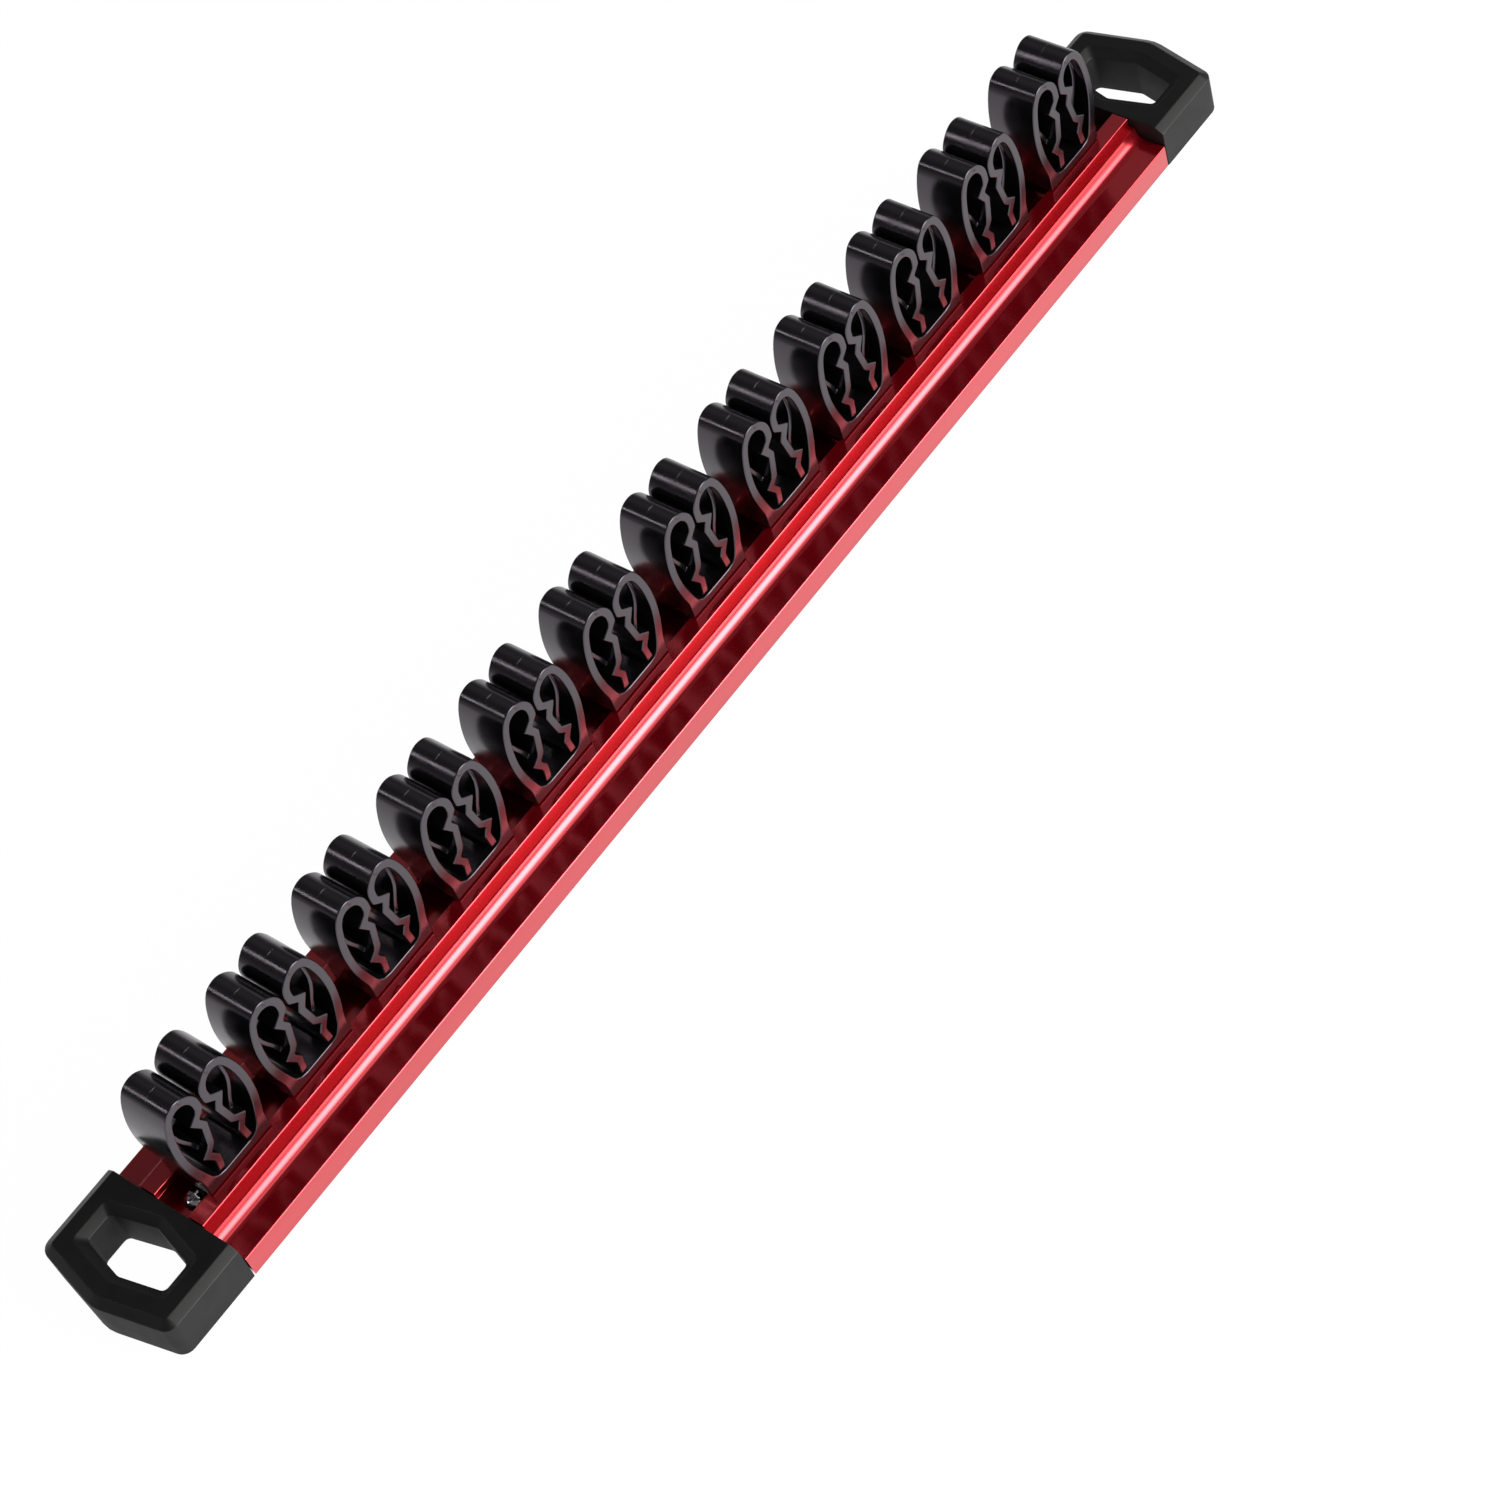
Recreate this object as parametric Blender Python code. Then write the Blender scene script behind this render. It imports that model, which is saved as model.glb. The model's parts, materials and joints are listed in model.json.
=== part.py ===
"""Magnetic tool organizer: a red aluminium rail with a magnet strip underneath, two black end caps held by a
screw each, and twelve black plastic clips that slide along the rail's slot and hold one tool each.

The frame: X runs along the rail, Y across it and Z up. The origin is the middle of the underside, which is the
magnet's side. The clips stand on top. Lengths below are in millimetres and turned into metres as shapes are made.
"""

import math

import bmesh
import bpy
from mathutils import Matrix, Vector

MM = 0.001
GAP = 0.3

# The rail: an extrusion with a slot on top and a pocket for the magnet below.
RAIL_HALF_LENGTH = 178.0
RAIL_HALF_WIDTH = 20.0
SHOULDER_TOP = 6.9
LIP_TOP = 12.4
LIP_UNDERSIDE = 10.4
LIP_OUTER = 9.8
LIP_INNER = 5.2
SLOT_HALF = 8.2
SLOT_FLOOR = 6.2
LEDGE_OUTER = 11.6
LEDGE_TOP = 10.0
COVE_RADIUS = LEDGE_TOP - SHOULDER_TOP
POCKET_HALF = 17.9
POCKET_TOP = 3.3

# The magnet strip: it fills the pocket between the tongues of the two caps.
MAGNET_HALF_LENGTH = 167.1
MAGNET_HALF_WIDTH = 17.5
MAGNET_BOTTOM = 0.0
MAGNET_TOP = 2.9

# The end cap: a block with a shallow pointed end, hollow below, with a six-sided hole in a tube of its own. Its
# top is level with the rail's lips, and slants down round the three outer sides.
CAP_FACE = RAIL_HALF_LENGTH + GAP
CAP_SIDE = 22.45
CAP_POINT = 26.85
CAP_HEIGHT = 12.4
CAP_CORNER = 3.2
CAP_TIP = 10.0
CAP_WALL = 1.9
CAP_ROOF = 2.0
CAP_END_WALL = 1.7
CHAMFER_ACROSS = 2.3
CHAMFER_DOWN = 1.6
HOLE_NEAR = 5.0
HOLE_FAR = 18.2
HOLE_FLAT_START = 8.0
HOLE_FLAT_END = 15.5
HOLE_HALF = 11.9
HOLE_RIM = 2.4
HOLE_RIM_DEPTH = 1.6
HOLE_CORNER = 1.5
TUBE_WALL = 2.1
RIB_WIDTH = 1.8
TONGUE_LENGTH = 10.7
TONGUE_HALF = 17.5
TONGUE_TOP = 3.0
TONGUE_CORNER_ALONG = 2.5
TONGUE_CORNER_ACROSS = 1.1

# The screw that holds each cap: it stands in the slot and goes down into the cap's tongue.
SCREW_FROM_FACE = 5.5
SCREW_HEAD_RADIUS = 2.6
SCREW_HEAD_HEIGHT = 1.9
SCREW_SHANK_RADIUS = 1.35
SCREW_HOLE_RADIUS = SCREW_SHANK_RADIUS + GAP
SCREW_TIP = 1.3

# The clip: one moulding, the same outline all along its length.
CLIP_LENGTH = 13.6
CLIP_BOTTOM = 12.75
FOOT_HALF_LENGTH = 6.2
NECK_HALF_WIDTH = 4.8
FLANGE_HALF_WIDTH = 7.8
FLANGE_TOP = LIP_UNDERSIDE - 0.4
FLANGE_BOTTOM = 7.3
BRACE_LENGTH = 8.8
BRACE_THICKNESS = 1.2

# Where the clips stand along the rail. They were slid there by hand, so the spacing is not quite even.
CLIP_PLACES = [-161.6, -134.0, -105.3, -76.2, -47.2, -18.2, 12.0, 41.6, 71.2, 100.2, 129.5, 159.5]

# Half of the clip's outline, seen along Y, as (x, z, corner radius). A point with SMOOTH for its radius lies on
# a curve. It starts at the foot and goes up the outside, over the lobe, down the zigzag finger to its free end,
# back up the finger's other side, round inside the lobe and down the inside of the wall to the floor.
SMOOTH = None
CLIP_HALF = [
    (10.1, CLIP_BOTTOM, 0.4),
    (10.1, 17.2, SMOOTH),
    (10.45, 19.2, SMOOTH),
    (11.1, 21.8, SMOOTH),
    (11.75, 25.6, SMOOTH),
    (12.0, 29.8, SMOOTH),
    (11.8, 33.8, SMOOTH),
    (11.15, 37.5, SMOOTH),
    (10.1, 40.9, SMOOTH),
    (8.65, 43.4, SMOOTH),
    (7.1, 44.35, SMOOTH),
    (5.4, 44.6, SMOOTH),
    (3.8, 44.15, SMOOTH),
    (2.3, 43.0, SMOOTH),
    (1.15, 41.6, SMOOTH),
    (0.5, 40.2, SMOOTH),
    (0.25, 38.6, SMOOTH),
    (0.25, 36.2, 1.0),
    (2.55, 34.05, 0.5),
    (1.3, 31.55, 0.8),
    (2.6, 24.7, 1.2),
    (4.4, 22.8, 0.5),
    (3.0, 20.5, 0.8),
    (3.5, 16.1, 0.4),
    (5.5, 16.1, 0.4),
    (5.0, 20.1, 1.0),
    (7.15, 23.35, 0.4),
    (4.55, 25.3, 0.9),
    (3.45, 31.1, 0.8),
    (5.4, 34.5, 0.4),
    (2.45, 36.8, 1.0),
    (2.45, 38.8, SMOOTH),
    (2.95, 40.4, SMOOTH),
    (4.0, 41.65, SMOOTH),
    (5.5, 42.15, SMOOTH),
    (6.9, 41.8, SMOOTH),
    (7.95, 40.6, SMOOTH),
    (8.8, 38.3, SMOOTH),
    (9.45, 35.0, SMOOTH),
    (9.78, 31.0, SMOOTH),
    (9.7, 27.5, SMOOTH),
    (9.1, 23.6, SMOOTH),
    (8.3, 20.4, SMOOTH),
    (7.5, 17.8, SMOOTH),
    (6.8, 16.3, SMOOTH),
    (5.6, 15.35, SMOOTH),
    (4.0, 15.0, 0.6),
]

# The middle line of the thin brace from the finger's lower bend to the inside of the wall.
BRACE_LINE = [(5.4, 24.2), (6.5, 27.4), (7.6, 29.8), (8.35, 31.8), (8.75, 34.0), (8.75, 36.2), (8.6, 38.6), (8.9, 40.4)]

SIDEWAYS = Matrix(((0, 0, 1, 0), (1, 0, 0, 0), (0, 1, 0, 0), (0, 0, 0, 1)))
UPRIGHT = Matrix(((1, 0, 0, 0), (0, 0, -1, 0), (0, 1, 0, 0), (0, 0, 0, 1)))


def clear_scene():
    for obj in list(bpy.data.objects):
        bpy.data.objects.remove(obj)


def new_collection(name):
    collection = bpy.data.collections.new(name)
    bpy.context.scene.collection.children.link(collection)
    return collection


def plastic_or_metal(name, colour, roughness, metallic=0.0):
    material = bpy.data.materials.new(name)
    material.use_nodes = True
    shader = material.node_tree.nodes["Principled BSDF"]
    shader.inputs["Base Color"].default_value = (*colour, 1)
    shader.inputs["Roughness"].default_value = roughness
    shader.inputs["Metallic"].default_value = metallic
    return material


def fillet(before, corner, after, radius, apart):
    """The arc that rounds a corner, as points that turn by about the given number of degrees each."""
    before, corner, after = Vector(before), Vector(corner), Vector(after)
    first = (before - corner).normalized()
    second = (after - corner).normalized()
    turn = math.pi - first.angle(second)
    if radius == 0 or turn < math.radians(2):
        return [tuple(corner)]
    reach = radius * math.tan(turn / 2)
    centre = corner + (first + second).normalized() * radius / math.cos(turn / 2)
    start = corner + first * reach - centre
    steps = max(1, round(math.degrees(turn) / apart))
    cross = first.x * second.y - first.y * second.x
    sign = 1 if cross < 0 else -1
    points = []
    for step in range(steps + 1):
        angle = sign * turn * step / steps
        turned = Matrix.Rotation(angle, 2) @ start
        points.append(tuple(centre + turned))
    return points


def curve_between(before, start, end, after):
    """The point halfway along a smooth curve from start to end, which also looks at its two neighbours."""
    return tuple((9 * (s + e) - (b + a)) / 16 for b, s, e, a in zip(before, start, end, after))


def outline(knots, apart=30):
    """The points of an outline from its corners and smooth points."""
    points = []
    count = len(knots)
    for index, (x, z, radius) in enumerate(knots):
        before = knots[index - 1][:2]
        after = knots[(index + 1) % count][:2]
        if radius is not SMOOTH:
            points += fillet(before, (x, z), after, radius, apart)
            continue
        points.append((x, z))
        if knots[(index + 1) % count][2] is SMOOTH:
            beyond = knots[(index + 2) % count][:2]
            points.append(curve_between(before, (x, z), after, beyond))
    return points


def both_sides(half):
    """A half outline at positive x, completed with its mirror image."""
    return half + [(-x, *rest) for x, *rest in reversed(half)]


def tidy(mesh):
    """Joins the points that lie on one another and turns all faces outward."""
    shape = bmesh.new()
    shape.from_mesh(mesh)
    bmesh.ops.remove_doubles(shape, verts=shape.verts, dist=1e-6)
    bmesh.ops.recalc_face_normals(shape, faces=shape.faces)
    shape.to_mesh(mesh)
    shape.free()


def prism(name, points, low, high, turn=Matrix.Identity(4)):
    """A solid with the given outline in its own XY plane, from low to high along its own Z, then turned."""
    curve = bpy.data.curves.new(name, "CURVE")
    curve.dimensions = "2D"
    curve.fill_mode = "BOTH"
    curve.extrude = (high - low) / 2 * MM
    spline = curve.splines.new("POLY")
    spline.points.add(len(points) - 1)
    for target, (x, y) in zip(spline.points, points):
        target.co = (x * MM, y * MM, 0, 1)
    spline.use_cyclic_u = True
    drawn = bpy.data.objects.new(name, curve)
    mesh = bpy.data.meshes.new_from_object(drawn)
    bpy.data.objects.remove(drawn)
    mesh.name = name
    mesh.transform(turn @ Matrix.Translation((0, 0, (low + high) / 2 * MM)))
    tidy(mesh)
    return bpy.data.objects.new(name, mesh)


def stack(name, layers):
    """A solid that goes straight from each outline to the next; all have as many points and face Z."""
    shape = bmesh.new()
    rings = []
    for points, z in layers:
        rings.append([shape.verts.new((x * MM, y * MM, z * MM)) for x, y in points])
    shape.faces.new(rings[0])
    shape.faces.new(rings[-1])
    count = len(rings[0])
    for lower, upper in zip(rings, rings[1:]):
        for index in range(count):
            after = (index + 1) % count
            shape.faces.new((lower[index], lower[after], upper[after], upper[index]))
    bmesh.ops.recalc_face_normals(shape, faces=shape.faces)
    mesh = bpy.data.meshes.new(name)
    shape.to_mesh(mesh)
    shape.free()
    return bpy.data.objects.new(name, mesh)


def box(name, x, y, z):
    """A block between two limits on each axis."""
    corners = [(x[0], y[0]), (x[1], y[0]), (x[1], y[1]), (x[0], y[1])]
    return prism(name, corners, *z)


def cylinder(name, radius, x, y, z, sides=24):
    round_outline = []
    for side in range(sides):
        angle = 2 * math.pi * side / sides
        round_outline.append((x + radius * math.cos(angle), y + radius * math.sin(angle)))
    return prism(name, round_outline, *z)


def combine(obj, operation, others):
    """Adds each of the others to the solid, or cuts it away, and keeps the result as the solid's own mesh."""
    helpers.objects.link(obj)
    for other in others:
        helpers.objects.link(other)
        other.hide_render = True
        other.display_type = "WIRE"
        modifier = obj.modifiers.new(other.name, "BOOLEAN")
        modifier.operation = operation
        modifier.solver = "EXACT"
        modifier.object = other
    bpy.context.view_layer.update()
    graph = bpy.context.evaluated_depsgraph_get()
    mesh = bpy.data.meshes.new_from_object(obj.evaluated_get(graph))
    obj.modifiers.clear()
    obj.data = mesh
    tidy(mesh)
    for other in others:
        bpy.data.objects.remove(other)
    helpers.objects.unlink(obj)
    return obj


def place(obj, name, material):
    """Puts a finished solid into the object's own collection under its plain name."""
    obj.name = name
    obj.data.name = name
    obj.data.materials.clear()
    obj.data.materials.append(material)
    organizer.objects.link(obj)
    return obj


def make_rail():
    half = [
        (POCKET_HALF, 0, 0.0),
        (RAIL_HALF_WIDTH, 0, 0.4),
        (RAIL_HALF_WIDTH, SHOULDER_TOP, 0.4),
        (LEDGE_OUTER, SHOULDER_TOP, COVE_RADIUS - 0.1),
        (LEDGE_OUTER, LEDGE_TOP, 0.0),
        (LIP_OUTER, LEDGE_TOP, 0.0),
        (LIP_OUTER, LIP_TOP, 0.3),
        (LIP_INNER, LIP_TOP, 0.3),
        (LIP_INNER, LIP_UNDERSIDE, 0.0),
        (SLOT_HALF, LIP_UNDERSIDE, 0.0),
        (SLOT_HALF, SLOT_FLOOR, 0.5),
    ]
    pocket = [(-POCKET_HALF, POCKET_TOP, 0.0), (POCKET_HALF, POCKET_TOP, 0.0)]
    points = outline(both_sides(half) + pocket)
    rail = prism("rail", points, -RAIL_HALF_LENGTH, RAIL_HALF_LENGTH, SIDEWAYS)
    screw_place = CAP_FACE - SCREW_FROM_FACE
    holes = []
    for side in (-1, 1):
        holes.append(cylinder("screw_hole", SCREW_HOLE_RADIUS, side * screw_place, 0, (0, SLOT_FLOOR + 1)))
    return combine(rail, "DIFFERENCE", holes)


def cap_plan(inset, start):
    """The cap's outline seen from above, pulled in by inset, from start outward."""
    side = RAIL_HALF_WIDTH - inset
    slope = (CAP_POINT - CAP_SIDE) / RAIL_HALF_WIDTH
    point = CAP_POINT - inset * math.hypot(1, slope)
    corner = point - slope * side
    corner_radius = max(CAP_CORNER - inset, 1.0)
    knots = [
        (start, -side, 0.0),
        (corner, -side, corner_radius),
        (point, 0, CAP_TIP - inset),
        (corner, side, corner_radius),
        (start, side, 0.0),
    ]
    return outline(knots, 15)


def cap_block():
    """The cap's outside: straight walls, and a slanted edge round the top except along the rail."""
    plan = cap_plan(0, 0.0)
    top = cap_plan(CHAMFER_ACROSS, 0.0)
    return stack("cap", [(plan, 0), (plan, CAP_HEIGHT - CHAMFER_DOWN), (top, CAP_HEIGHT)])


def hole_plan(grown, rounding):
    """The six-sided hole's outline seen from above, grown by a distance all round."""
    slope = (HOLE_FLAT_START - HOLE_NEAR) / HOLE_HALF
    reach = grown * math.hypot(1, slope)
    half = HOLE_HALF + grown
    near = HOLE_NEAR - reach
    far = HOLE_FAR + reach
    far_slope = (HOLE_FAR - HOLE_FLAT_END) / HOLE_HALF
    knots = [
        (near, 0, rounding),
        (near + slope * half, -half, rounding),
        (far - far_slope * half, -half, rounding),
        (far, 0, rounding),
        (far - far_slope * half, half, rounding),
        (near + slope * half, half, rounding),
    ]
    return outline(knots, 20)


def rim_cutter():
    """A funnel that widens the top of the six-sided hole."""
    past = 1.25
    lower = hole_plan(0, HOLE_CORNER)
    upper = hole_plan(HOLE_RIM * past, HOLE_CORNER * 1.2)
    return stack("rim_cutter", [(lower, CAP_HEIGHT - HOLE_RIM_DEPTH), (upper, CAP_HEIGHT + HOLE_RIM_DEPTH * (past - 1))])


def make_cap():
    """The cap at the +X end, with its inner face at x = 0 until it is moved into place."""
    middle = (HOLE_NEAR + HOLE_FAR) / 2
    inside = RAIL_HALF_WIDTH - CAP_WALL / 2
    roof = CAP_HEIGHT - CAP_ROOF
    screw_x = -SCREW_FROM_FACE
    cap = cap_block()
    combine(cap, "DIFFERENCE", [prism("hollow", cap_plan(CAP_WALL, CAP_END_WALL), -1, roof)])
    tongue_knots = [
        (CAP_END_WALL / 2, -TONGUE_HALF, 0.0),
        (CAP_END_WALL / 2, TONGUE_HALF, 0.0),
        (TONGUE_CORNER_ALONG - TONGUE_LENGTH, TONGUE_HALF, 0.0),
        (-TONGUE_LENGTH, TONGUE_HALF - TONGUE_CORNER_ACROSS, 0.0),
        (-TONGUE_LENGTH, TONGUE_CORNER_ACROSS - TONGUE_HALF, 0.0),
        (TONGUE_CORNER_ALONG - TONGUE_LENGTH, -TONGUE_HALF, 0.0),
    ]
    added = [
        prism("tube", hole_plan(TUBE_WALL, HOLE_CORNER + 0.6), 0, roof + 0.5),
        box("rib_along", (CAP_END_WALL / 2, CAP_POINT - CAP_WALL / 2), (-RIB_WIDTH / 2, RIB_WIDTH / 2), (0, roof + 0.5)),
        box("rib_across", (middle - RIB_WIDTH / 2, middle + RIB_WIDTH / 2), (-inside, inside), (0, roof + 0.5)),
        prism("tongue", outline(tongue_knots), 0, TONGUE_TOP),
    ]
    combine(cap, "UNION", added)
    cuts = [
        prism("hole", hole_plan(0, HOLE_CORNER), -1, CAP_HEIGHT + 1),
        rim_cutter(),
        cylinder("screw_hole", SCREW_HOLE_RADIUS, screw_x, 0, (1.0, TONGUE_TOP + 1)),
        cylinder("dimple", 1.1, screw_x, 0, (-1, 0.25), 16),
    ]
    return combine(cap, "DIFFERENCE", cuts)


def make_screw():
    """A pan-head screw with a cross recess, standing on its axis at x = 0."""
    seat = SLOT_FLOOR + GAP
    top = seat + SCREW_HEAD_HEIGHT
    profile = [
        (0.0, SCREW_TIP),
        (SCREW_SHANK_RADIUS * 0.6, SCREW_TIP),
        (SCREW_SHANK_RADIUS, SCREW_TIP + 0.8),
        (SCREW_SHANK_RADIUS, seat),
        (SCREW_HEAD_RADIUS, seat),
        (SCREW_HEAD_RADIUS, seat + 0.9),
        (SCREW_HEAD_RADIUS - 0.3, top - 0.5),
        (SCREW_HEAD_RADIUS - 1.0, top - 0.12),
        (0.0, top),
    ]
    shape = bmesh.new()
    verts = [shape.verts.new((x * MM, 0, z * MM)) for x, z in profile]
    edges = [shape.edges.new(pair) for pair in zip(verts, verts[1:])]
    bmesh.ops.spin(shape, geom=verts + edges, cent=(0, 0, 0), axis=(0, 0, 1), angle=2 * math.pi, steps=20)
    mesh = bpy.data.meshes.new("screw")
    shape.to_mesh(mesh)
    shape.free()
    tidy(mesh)
    screw = bpy.data.objects.new("screw", mesh)
    recess = [
        box("recess", (-1.5, 1.5), (-0.35, 0.35), (top - 0.9, top + 1)),
        box("recess", (-0.35, 0.35), (-1.5, 1.5), (top - 0.9, top + 1)),
    ]
    return combine(screw, "DIFFERENCE", recess)


def brace_plan(side):
    """The outline of the thin brace, made by moving half its thickness off its middle line to each side."""
    left, right = [], []
    last = len(BRACE_LINE) - 1
    for index, point in enumerate(BRACE_LINE):
        before = Vector(BRACE_LINE[max(index - 1, 0)])
        after = Vector(BRACE_LINE[min(index + 1, last)])
        along = (after - before).normalized()
        off = Vector((-along.y, along.x)) * BRACE_THICKNESS / 2
        left.append(Vector(point) + off)
        right.append(Vector(point) - off)
    return [(side * p.x, p.y) for p in left + right[::-1]]


def make_clip():
    """The clip over x = 0, with its foot already down in the slot."""
    half_length = CLIP_LENGTH / 2
    clip = prism("clip", outline(both_sides(CLIP_HALF)), -half_length, half_length, UPRIGHT)
    half_brace = BRACE_LENGTH / 2
    foot = (-FOOT_HALF_LENGTH, FOOT_HALF_LENGTH)
    added = [
        prism("brace", brace_plan(1), -half_brace, half_brace, UPRIGHT),
        prism("brace", brace_plan(-1), -half_brace, half_brace, UPRIGHT),
        box("neck", foot, (-NECK_HALF_WIDTH, NECK_HALF_WIDTH), (FLANGE_TOP - 0.3, CLIP_BOTTOM + 0.4)),
        box("flange", foot, (-FLANGE_HALF_WIDTH, FLANGE_HALF_WIDTH), (FLANGE_BOTTOM, FLANGE_TOP)),
    ]
    return combine(clip, "UNION", added)


def make_magnet():
    length = (-MAGNET_HALF_LENGTH, MAGNET_HALF_LENGTH)
    width = (-MAGNET_HALF_WIDTH, MAGNET_HALF_WIDTH)
    return box("magnet", length, width, (MAGNET_BOTTOM, MAGNET_TOP))


def twin(obj, name, matrix):
    """Another object with the same mesh, set down somewhere else."""
    copy = bpy.data.objects.new(name, obj.data)
    copy.matrix_world = matrix
    organizer.objects.link(copy)
    return copy


clear_scene()
organizer = new_collection("magnetic_tool_organizer")
helpers = new_collection("helpers")

red_anodised = plastic_or_metal("red_anodised_aluminium", (0.42, 0.004, 0.02), 0.22, 1.0)
matte_black = plastic_or_metal("matte_black_plastic", (0.02, 0.02, 0.02), 0.55)
gloss_black = plastic_or_metal("gloss_black_plastic", (0.015, 0.015, 0.017), 0.25)
magnet_grey = plastic_or_metal("magnet_strip", (0.06, 0.06, 0.06), 0.7)
bright_steel = plastic_or_metal("screw_steel", (0.75, 0.75, 0.77), 0.2, 1.0)

place(make_rail(), "rail", red_anodised)
place(make_magnet(), "magnet_strip", magnet_grey)

right_cap = place(make_cap(), "end_cap_right", matte_black)
right_cap.location.x = CAP_FACE * MM
twin(right_cap, "end_cap_left", Matrix.Translation((-CAP_FACE * MM, 0, 0)) @ Matrix.Rotation(math.pi, 4, "Z"))

right_screw = place(make_screw(), "cap_screw_right", bright_steel)
right_screw.location.x = (CAP_FACE - SCREW_FROM_FACE) * MM
twin(right_screw, "cap_screw_left", Matrix.Translation(((SCREW_FROM_FACE - CAP_FACE) * MM, 0, 0)))

first_clip = place(make_clip(), "clip_01", gloss_black)
first_clip.location.x = CLIP_PLACES[0] * MM
for number, x in enumerate(CLIP_PLACES[1:], start=2):
    twin(first_clip, f"clip_{number:02d}", Matrix.Translation((x * MM, 0, 0)))
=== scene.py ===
"""The looks of the magnetic tool organizer: a red anodised rail with a magnet strip below, two black end
caps with a screw each, and twelve black clips in the rail's slot.

Lengths are in metres in the model's own frame: X along the rail, Y across it, Z up, with the underside at
z = 0. The dimensions of the edges and of the moulding marks are in millimetres, multiplied by MM where
they are used.
"""

import json
import math

import bmesh
import bpy
from mathutils import Matrix, Vector

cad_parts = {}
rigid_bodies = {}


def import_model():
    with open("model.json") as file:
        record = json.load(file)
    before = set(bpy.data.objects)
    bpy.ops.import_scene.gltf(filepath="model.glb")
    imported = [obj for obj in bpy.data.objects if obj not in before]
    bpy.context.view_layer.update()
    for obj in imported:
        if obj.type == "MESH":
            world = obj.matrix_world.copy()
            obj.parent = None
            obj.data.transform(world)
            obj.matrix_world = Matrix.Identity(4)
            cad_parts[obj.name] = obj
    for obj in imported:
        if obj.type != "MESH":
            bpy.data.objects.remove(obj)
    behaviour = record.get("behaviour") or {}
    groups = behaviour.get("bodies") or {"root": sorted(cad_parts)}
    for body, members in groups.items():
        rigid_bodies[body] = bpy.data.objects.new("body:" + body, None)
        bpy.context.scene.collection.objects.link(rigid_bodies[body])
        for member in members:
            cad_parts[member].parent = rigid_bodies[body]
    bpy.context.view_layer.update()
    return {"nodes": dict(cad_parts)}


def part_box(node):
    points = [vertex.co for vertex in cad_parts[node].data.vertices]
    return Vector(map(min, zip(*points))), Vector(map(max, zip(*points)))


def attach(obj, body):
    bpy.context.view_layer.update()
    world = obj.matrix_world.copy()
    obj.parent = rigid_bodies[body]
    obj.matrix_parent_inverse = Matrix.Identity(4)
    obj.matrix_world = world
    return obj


for startup_object in list(bpy.data.objects):
    bpy.data.objects.remove(startup_object)

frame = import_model()
nodes = frame["nodes"]
scene = bpy.context.scene
scene.view_settings.view_transform = "Standard"

MM = 0.001
CLIPS = [name for name in sorted(nodes) if name.startswith("clip_")]


# Camera, at the photograph's viewing angle

SENSOR_WIDTH = 36.0
LENS = 87.88
NEAREST, FARTHEST = 0.05, 50.0
CAMERA_PLACE = (-0.31733, -0.45419, 0.65472)
HEADING, TILT, ROLL = -35.581376, 38.341449, -21.537405


def make_camera():
    """The camera looks straight down before it is rolled, tilted up and turned, with its angles in degrees."""
    data = bpy.data.cameras.new("camera")
    data.sensor_width = SENSOR_WIDTH
    data.lens = LENS
    data.clip_start = NEAREST
    data.clip_end = FARTHEST
    camera = bpy.data.objects.new("camera", data)
    scene.collection.objects.link(camera)
    scene.camera = camera
    turn = Matrix.Rotation(math.radians(HEADING), 4, "Z")
    tilt = Matrix.Rotation(math.radians(TILT), 4, "X")
    roll = Matrix.Rotation(math.radians(ROLL), 4, "Z")
    camera.matrix_world = Matrix.Translation(CAMERA_PLACE) @ turn @ tilt @ roll


make_camera()


# Node helpers

def new_material(name, colour, metallic=0.0, ior=1.5):
    """A material and its tree and shader, with the values that are the same all over it."""
    material = bpy.data.materials.new(name)
    material.use_nodes = True
    tree = material.node_tree
    shader = tree.nodes["Principled BSDF"]
    shader.inputs["Base Color"].default_value = (*colour, 1)
    shader.inputs["Metallic"].default_value = metallic
    shader.inputs["IOR"].default_value = ior
    return material, tree, shader


def add_node(tree, kind, inputs, **settings):
    """A node with its settings, and with the values of its inputs by their names or numbers."""
    node = tree.nodes.new(kind)
    for name, value in settings.items():
        setattr(node, name, value)
    for key, value in inputs.items():
        node.inputs[key].default_value = value
    return node


def noise(tree, stretch, detail, roughness=0.5):
    """A noise whose cells are about 1 / stretch metres long on each axis."""
    coordinates = tree.nodes.new("ShaderNodeTexCoord")
    mapping = add_node(tree, "ShaderNodeMapping", {"Scale": stretch})
    texture = add_node(tree, "ShaderNodeTexNoise", {"Scale": 1.0, "Detail": detail, "Roughness": roughness})
    tree.links.new(coordinates.outputs["Object"], mapping.inputs["Vector"])
    tree.links.new(mapping.outputs["Vector"], texture.inputs["Vector"])
    return texture.outputs["Fac"]


def along_axis(tree, coordinates, axis):
    """One component of the coordinates, which are a point's place, its normal or a direction in the world."""
    source = tree.nodes.new("ShaderNodeTexCoord")
    split = tree.nodes.new("ShaderNodeSeparateXYZ")
    tree.links.new(source.outputs[coordinates], split.inputs["Vector"])
    return split.outputs[axis]


def spread(tree, value, low, high, start=0.3, end=0.7, curve="LINEAR"):
    """The span from start to end, which is a noise's usual one unless others are given, turned into low to high."""
    ends = {"From Min": start, "From Max": end, "To Min": low, "To Max": high}
    node = add_node(tree, "ShaderNodeMapRange", ends, interpolation_type=curve)
    tree.links.new(value, node.inputs["Value"])
    return node.outputs["Result"]


def mix_colours(tree, factor, first, second):
    """A colour between the first, where the factor is 0, and the second, where it is 1."""
    node = add_node(tree, "ShaderNodeMix", {}, data_type="RGBA")
    colours = [socket for socket in node.inputs if socket.type == "RGBA"]
    colours[0].default_value = (*first, 1)
    colours[1].default_value = (*second, 1)
    tree.links.new(factor, node.inputs["Factor"])
    return next(socket for socket in node.outputs if socket.type == "RGBA")


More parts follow.
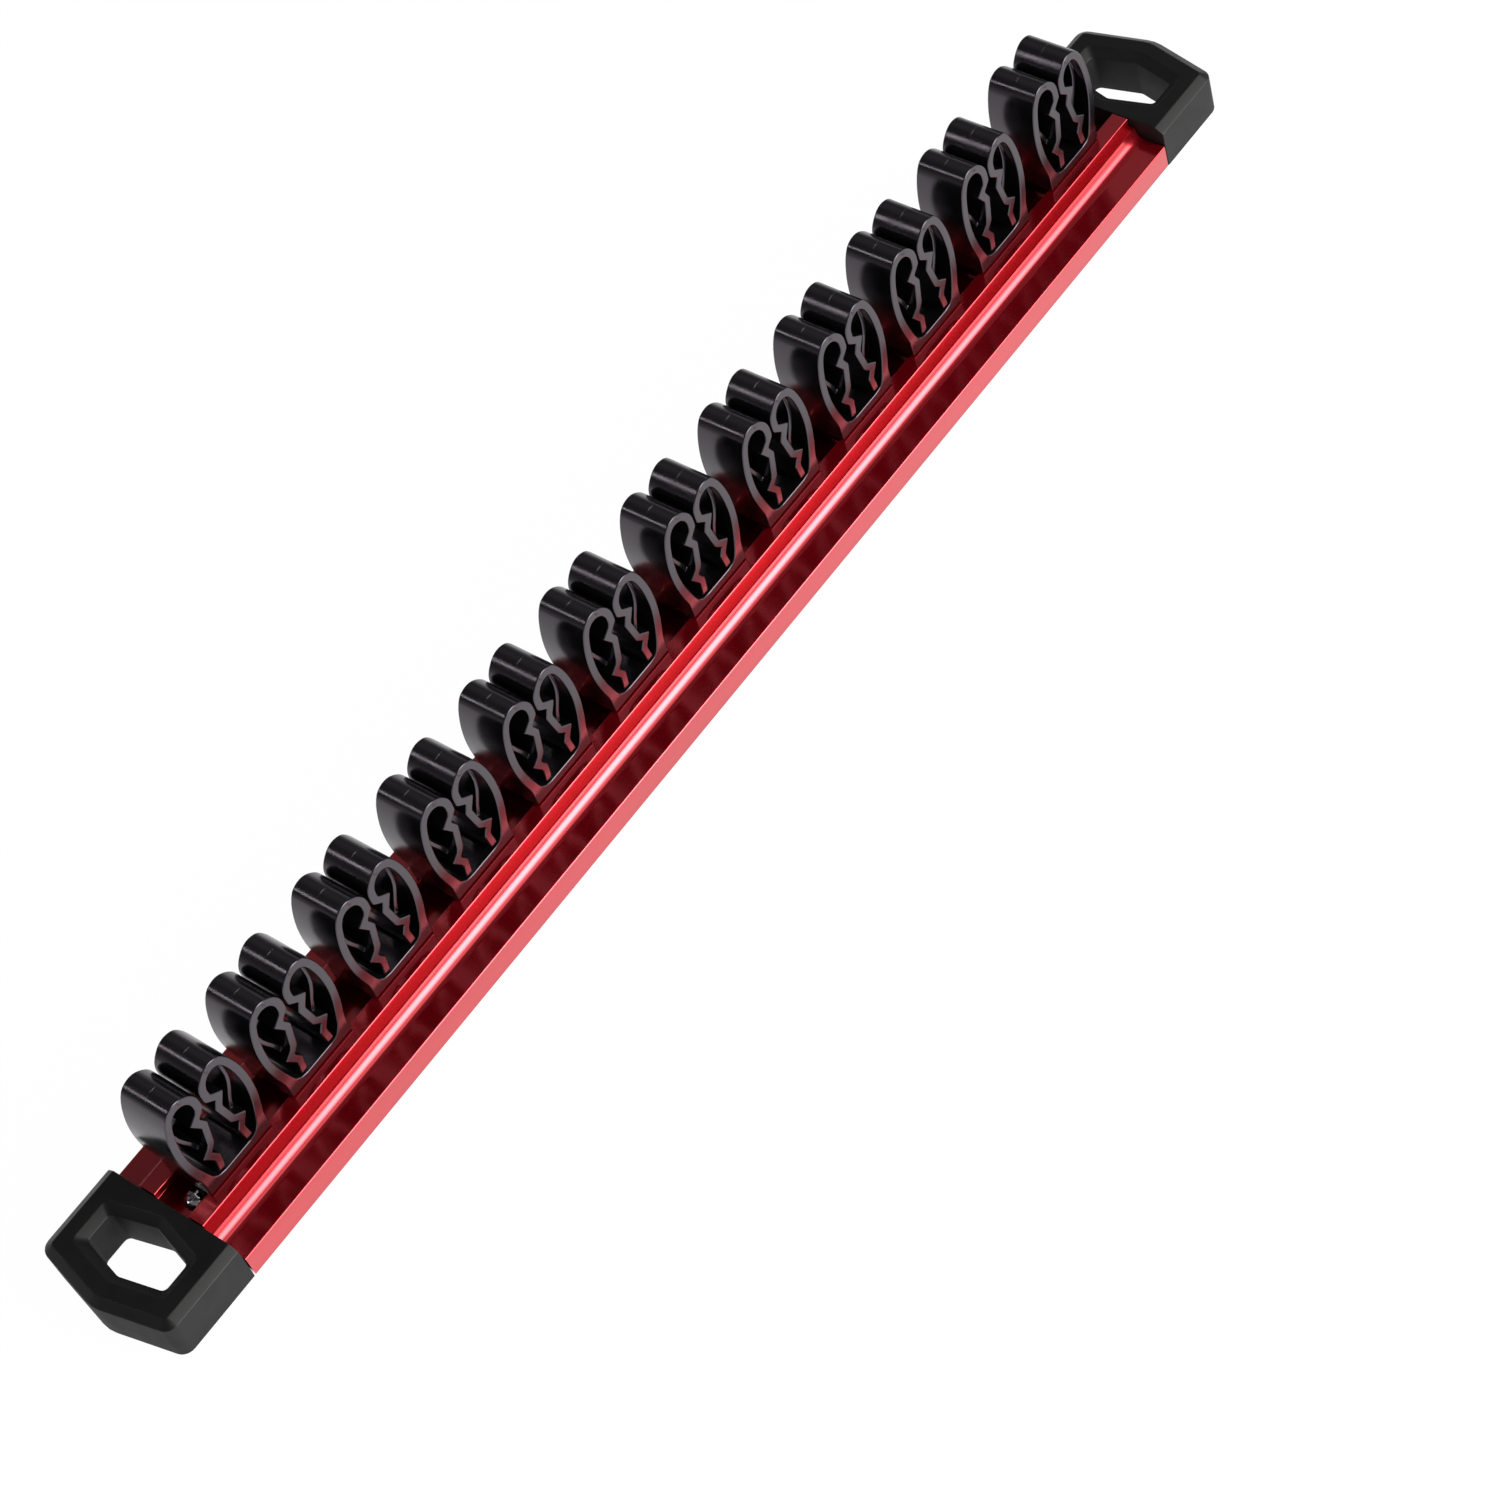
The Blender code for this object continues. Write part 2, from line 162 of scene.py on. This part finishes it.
def bump(tree, shader, height, distance, strength):
    """Tilts the shader's normals as the height says, where a height of 1 is the distance."""
    node = add_node(tree, "ShaderNodeBump", {"Strength": strength, "Distance": distance})
    tree.links.new(height, node.inputs["Height"])
    tree.links.new(node.outputs["Normal"], shader.inputs["Normal"])


# Materials

PLASTIC_SMOOTHER, PLASTIC_ROUGHER = 0.04, 0.05
PLASTIC_DARKER, PLASTIC_LIGHTER = 0.85, 1.2


def red_anodised():
    """Clear red oxide over drawn aluminium: fine lines along the rail, and a dye that is a little uneven."""
    deep, mean, pale = (0.5, 0.003, 0.013), (0.54, 0.004, 0.016), (0.58, 0.005, 0.019)
    material, tree, shader = new_material("anodised_red", mean, metallic=0.82)
    dye = noise(tree, (12, 60, 60), detail=3)
    red = mix_colours(tree, spread(tree, dye, 0, 1), deep, pale)
    tree.links.new(red, shader.inputs["Base Color"])
    lines = noise(tree, (6, 2600, 2600), detail=5, roughness=0.6)
    tree.links.new(spread(tree, lines, 0.15, 0.21), shader.inputs["Roughness"])
    shader.inputs["Coat Weight"].default_value = 1.0
    shader.inputs["Coat IOR"].default_value = 1.6
    shader.inputs["Coat Roughness"].default_value = 0.14
    bump(tree, shader, lines, distance=0.000002, strength=0.2)
    return material


def black_plastic(name, colour, roughness, grain, depth, ior, gloss=(1, 1, 1), scuff=0.0):
    """Moulded black plastic: a fine grain, and roughness that drifts as where a mould's finish has worn.

    The grain's cells are about 1 / grain metres long. Gloss tints the reflections. Scuff is how much rougher
    the upright faces are, which the mould rubs as it opens.
    """
    material, tree, shader = new_material(name, colour, ior=ior)
    shader.inputs["Specular Tint"].default_value = (*gloss, 1)
    cloud = noise(tree, (160, 160, 160), detail=3)
    finish = spread(tree, cloud, roughness - PLASTIC_SMOOTHER, roughness + PLASTIC_ROUGHER)
    if scuff:
        rubbed = spread(tree, along_axis(tree, "Normal", "Z"), scuff, 0.0, start=0.1, end=0.5)
        total = add_node(tree, "ShaderNodeMath", {}, operation="ADD")
        tree.links.new(finish, total.inputs[0])
        tree.links.new(rubbed, total.inputs[1])
        finish = total.outputs[0]
    tree.links.new(finish, shader.inputs["Roughness"])
    darker = tuple(PLASTIC_DARKER * value for value in colour)
    lighter = tuple(PLASTIC_LIGHTER * value for value in colour)
    tone = mix_colours(tree, spread(tree, cloud, 0, 1), darker, lighter)
    tree.links.new(tone, shader.inputs["Base Color"])
    bump(tree, shader, noise(tree, (grain, grain, grain), detail=3), depth, strength=0.5)
    return material


def magnet_sheet():
    """Flexible magnet: matte dark grey, with faint lines from the rolls that drew it out, and dust in its pores."""
    deep, mean, pale = (0.046, 0.047, 0.049), (0.055, 0.056, 0.058), (0.066, 0.067, 0.069)
    material, tree, shader = new_material("magnet_sheet", mean)
    drawn = noise(tree, (40, 900, 900), detail=4)
    specks = noise(tree, (3500, 3500, 3500), detail=2)
    tree.links.new(mix_colours(tree, spread(tree, drawn, 0, 1), deep, pale), shader.inputs["Base Color"])
    tree.links.new(spread(tree, drawn, 0.5, 0.62), shader.inputs["Roughness"])
    bump(tree, shader, specks, distance=0.00002, strength=0.4)
    return material


def bright_screw():
    """Nickel plate with faint turning marks."""
    material, tree, shader = new_material("bright_screw", (0.78, 0.78, 0.8), metallic=1.0)
    turned = noise(tree, (900, 900, 4000), detail=3)
    tree.links.new(spread(tree, turned, 0.1, 0.2), shader.inputs["Roughness"])
    return material


red = red_anodised()
cap_black = black_plastic(
    "cap_black", (0.0006, 0.0007, 0.0008), roughness=0.46, grain=2600, depth=0.00002, ior=1.52, scuff=0.28)
clip_black = black_plastic(
    "clip_black", (0.0028, 0.0028, 0.0032), roughness=0.19, grain=700, depth=0.000006, ior=1.68,
    gloss=(0.98, 0.86, 1))
magnet_grey = magnet_sheet()
screw_bright = bright_screw()


# Edges and normals of the solids, with the angles in degrees

WELD_DISTANCE = 0.002 * MM
FLAT_ANGLE = 0.6
CURVE_ANGLE = 38
CAP_CURVE_ANGLE = 24
SOFT_EDGE, CLIP_EDGE, SCREW_EDGE = 0.25, 0.32, 0.08
NORMAL_WEIGHT = 80


def smooth_by_angle(degrees):
    """Nodes that shade every face smooth, and keep the edges sharper than the angle."""
    tree = bpy.data.node_groups.new("smooth_by_angle", "GeometryNodeTree")
    tree.interface.new_socket("Geometry", in_out="INPUT", socket_type="NodeSocketGeometry")
    tree.interface.new_socket("Geometry", in_out="OUTPUT", socket_type="NodeSocketGeometry")
    start = tree.nodes.new("NodeGroupInput")
    end = tree.nodes.new("NodeGroupOutput")
    faces = add_node(tree, "GeometryNodeSetShadeSmooth", {}, domain="FACE")
    edges = add_node(tree, "GeometryNodeSetShadeSmooth", {}, domain="EDGE")
    turn = tree.nodes.new("GeometryNodeInputMeshEdgeAngle")
    limit = math.radians(degrees)
    compare = add_node(tree, "FunctionNodeCompare", {1: limit}, data_type="FLOAT", operation="LESS_THAN")
    tree.links.new(start.outputs[0], faces.inputs["Geometry"])
    tree.links.new(faces.outputs[0], edges.inputs["Geometry"])
    tree.links.new(turn.outputs["Unsigned Angle"], compare.inputs[0])
    tree.links.new(compare.outputs[0], edges.inputs["Shade Smooth"])
    tree.links.new(edges.outputs[0], end.inputs[0])
    return tree


smoothing = smooth_by_angle(CURVE_ANGLE)
cap_smoothing = smooth_by_angle(CAP_CURVE_ANGLE)


def dress(name, material, edge, segments=2, crease=40, shading=smoothing):
    """Gives a solid its material, rounds its edges where edge isn't zero, and shades its curves smooth."""
    obj = nodes[name]
    for slot in obj.material_slots:
        slot.material = material
    weld = obj.modifiers.new("weld", "WELD")
    weld.merge_threshold = WELD_DISTANCE
    flat = obj.modifiers.new("flat", "DECIMATE")
    flat.decimate_type = "DISSOLVE"
    flat.angle_limit = math.radians(FLAT_ANGLE)
    if edge:
        bevel = obj.modifiers.new("edges", "BEVEL")
        bevel.width = edge * MM
        bevel.segments = segments
        bevel.limit_method = "ANGLE"
        bevel.angle_limit = math.radians(crease)
        bevel.use_clamp_overlap = False
        bevel.miter_outer = "MITER_ARC"
    smooth = obj.modifiers.new("smooth", "NODES")
    smooth.node_group = shading
    normals = obj.modifiers.new("normals", "WEIGHTED_NORMAL")
    normals.keep_sharp = True
    normals.weight = NORMAL_WEIGHT


dress("rail", red, edge=0)
dress("magnet_strip", magnet_grey, edge=SOFT_EDGE)
for side in ("left", "right"):
    dress(f"end_cap_{side}", cap_black, edge=SOFT_EDGE, crease=CAP_CURVE_ANGLE, shading=cap_smoothing)
    dress(f"cap_screw_{side}", screw_bright, edge=SCREW_EDGE)
for clip in CLIPS:
    dress(clip, clip_black, edge=CLIP_EDGE, segments=3)


# Marks that the mould leaves on each clip, in millimetres from the clip's middle

LOBE_PEAK = 5.65
LOBE_TOP = 44.6
LOBE_RADIUS = 4.0

RIDGE_START, RIDGE_END, RIDGE_STEPS = 3.7, 7.2, 6
RIDGE_FOOT, RIDGE_CREST = 0.14, 0.05
RIDGE_HEIGHT, RIDGE_SUNK = 0.05, 0.04
RIDGE_PHASE = 0.25

PIN_X, PIN_Y, PIN_Z = 4.4, -6.8, 43.25
PIN_RADIUS = 0.55
PIN_SIDES = 16
PIN_PROFILE = ((1.0, -0.05), (0.9, 0.07), (0.66, 0.07), (0.55, 0.015))


def add_ring(shape, points):
    """The corners of one cross-section."""
    return [shape.verts.new(tuple(value * MM for value in point)) for point in points]


def join_rings(shape, rings):
    """The faces between each ring and the next."""
    for first, second in zip(rings, rings[1:]):
        for index in range(len(first)):
            after = (index + 1) % len(first)
            shape.faces.new((first[index], first[after], second[after], second[index]))


def add_ridge(shape, side):
    """A fine seam across the round top of a lobe, at the clip's mid length, lower at its two ends."""
    rings = []
    for index in range(RIDGE_STEPS + 1):
        x = RIDGE_START + (RIDGE_END - RIDGE_START) * index / RIDGE_STEPS
        z = LOBE_TOP - LOBE_RADIUS + math.sqrt(LOBE_RADIUS ** 2 - (x - LOBE_PEAK) ** 2)
        rise = math.pi * min(index, RIDGE_STEPS - index) / RIDGE_STEPS + RIDGE_PHASE
        crest = z + RIDGE_HEIGHT * math.sin(rise)
        foot = z - RIDGE_SUNK
        section = ((-RIDGE_FOOT, foot), (-RIDGE_CREST, crest), (RIDGE_CREST, crest), (RIDGE_FOOT, foot))
        rings.append(add_ring(shape, [(side * x, y, height) for y, height in section]))
    join_rings(shape, rings)
    shape.faces.new(rings[0])
    shape.faces.new(rings[-1])


def add_pin_mark(shape, side):
    """The shallow round mark that an ejector pin leaves on an end face: a low rim round a hollow.

    The profile gives the radius of each ring, as a share of the mark's, and how far it stands out of the face.
    """
    rings = []
    for share, lift in PIN_PROFILE:
        radius = PIN_RADIUS * share
        points = []
        for index in range(PIN_SIDES):
            angle = 2 * math.pi * index / PIN_SIDES
            across, upward = radius * math.cos(angle), radius * math.sin(angle)
            points.append((side * PIN_X + across, PIN_Y - lift, PIN_Z + upward))
        rings.append(add_ring(shape, points))
    join_rings(shape, rings)
    shape.faces.new(rings[-1])


def mould_marks():
    """The mesh of one clip's marks."""
    shape = bmesh.new()
    for side in (-1, 1):
        add_ridge(shape, side)
        add_pin_mark(shape, side)
    bmesh.ops.recalc_face_normals(shape, faces=shape.faces)
    mesh = bpy.data.meshes.new("mould_marks")
    shape.to_mesh(mesh)
    shape.free()
    mesh.materials.append(clip_black)
    for polygon in mesh.polygons:
        polygon.use_smooth = True
    return mesh


marks = mould_marks()
for clip in CLIPS:
    low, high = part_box(clip)
    piece = bpy.data.objects.new(f"{clip}_mould_marks", marks)
    scene.collection.objects.link(piece)
    piece.location.x = (low.x + high.x) / 2
    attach(piece, clip)


# Floor, world and lights

FLOOR_HALF = 4.0
FLOOR_LEVEL = -0.0004
FLOOR_FRONT, FLOOR_BACK = -0.022, -0.018
WORLD_FADE = 0.4
LIGHT_COLOUR = (1, 0.99, 0.965)
LIGHT_DISTANCE = 1.5


def make_floor(front, back):
    """A white light table, so that nothing on it throws a shadow, a little brighter in front of the rail."""
    mesh = bpy.data.meshes.new("floor")
    corners = [(FLOOR_HALF * x, FLOOR_HALF * y, FLOOR_LEVEL) for x, y in ((-1, -1), (1, -1), (1, 1), (-1, 1))]
    mesh.from_pydata(corners, [], [(0, 1, 2, 3)])
    floor = bpy.data.objects.new("floor", mesh)
    scene.collection.objects.link(floor)
    material, tree, shader = new_material("light_table", (0.02, 0.02, 0.02))
    shader.inputs["Roughness"].default_value = 1.0
    shader.inputs["Specular IOR Level"].default_value = 0.0
    shader.inputs["Emission Color"].default_value = (1, 1, 1, 1)
    glow = spread(tree, along_axis(tree, "Object", "Y"), front, back, start=FLOOR_FRONT, end=FLOOR_BACK)
    tree.links.new(glow, shader.inputs["Emission Strength"])
    mesh.materials.append(material)


def make_world(horizon, zenith):
    """A soft studio surround, brighter low down than overhead."""
    world = bpy.data.worlds.new("studio")
    world.use_nodes = True
    tree = world.node_tree
    background = tree.nodes["Background"]
    background.inputs["Color"].default_value = (1, 1, 1, 1)
    up = along_axis(tree, "Generated", "Z")
    level = spread(tree, up, horizon, zenith, start=0.0, end=WORLD_FADE, curve="SMOOTHSTEP")
    tree.links.new(level, background.inputs["Strength"])
    scene.world = world


def fade(tree, falloff):
    """Fades a light from its middle to nothing at the ellipse that its sides enclose."""
    place = tree.nodes.new("ShaderNodeNewGeometry")
    centred = add_node(tree, "ShaderNodeVectorMath", {1: (2, 2, 0), 2: (-1, -1, 0)}, operation="MULTIPLY_ADD")
    squared = add_node(tree, "ShaderNodeVectorMath", {}, operation="DOT_PRODUCT")
    rest = add_node(tree, "ShaderNodeMath", {0: 1.0}, operation="SUBTRACT", use_clamp=True)
    power = add_node(tree, "ShaderNodeMath", {1: falloff}, operation="POWER")
    tree.links.new(place.outputs["Parametric"], centred.inputs[0])
    tree.links.new(centred.outputs[0], squared.inputs[0])
    tree.links.new(centred.outputs[0], squared.inputs[1])
    tree.links.new(squared.outputs["Value"], rest.inputs[1])
    tree.links.new(rest.outputs[0], power.inputs[0])
    tree.links.new(power.outputs[0], tree.nodes["Emission"].inputs["Strength"])


def softbox(name, middle, top, width, height, radiance, falloff=0.0):
    """A light that faces the object from the direction of its middle, its height towards the direction of top."""
    data = bpy.data.lights.new(name, "AREA")
    data.shape = "RECTANGLE"
    data.size = width
    data.size_y = height
    data.energy = radiance * width * height * math.pi
    data.color = LIGHT_COLOUR
    if falloff:
        data.use_nodes = True
        fade(data.node_tree, falloff)
    light = bpy.data.objects.new(name, data)
    scene.collection.objects.link(light)
    towards = Vector(middle).normalized()
    rise = Vector(top) - towards * towards.dot(Vector(top))
    rise.normalize()
    side = rise.cross(towards)
    place = towards * LIGHT_DISTANCE
    light.matrix_world = Matrix((
        (side.x, rise.x, towards.x, place.x),
        (side.y, rise.y, towards.y, place.y),
        (side.z, rise.z, towards.z, place.z),
        (0, 0, 0, 1),
    ))


make_floor(front=1.22, back=0.99)
make_world(horizon=0.45, zenith=0.11)
softbox(
    "front_softbox", (0.32, -0.88, 0.36), (0.36, -0.5, 0.79), width=1.5, height=2.05, radiance=13.0, falloff=1.7)
softbox("high_softbox", (0.32, -0.62, 1.30), (0, 0.5, 0.79), width=1.0, height=0.6, radiance=1.5, falloff=0.7)
softbox("back_softbox", (0.47, 0.43, 0.77), (0, 0, 1), width=1.6, height=1.2, radiance=0.1, falloff=0.8)
softbox("back_strip", (-0.5, 0.5, 0.62), (0, 0, 1), width=0.06, height=0.5, radiance=9.0)
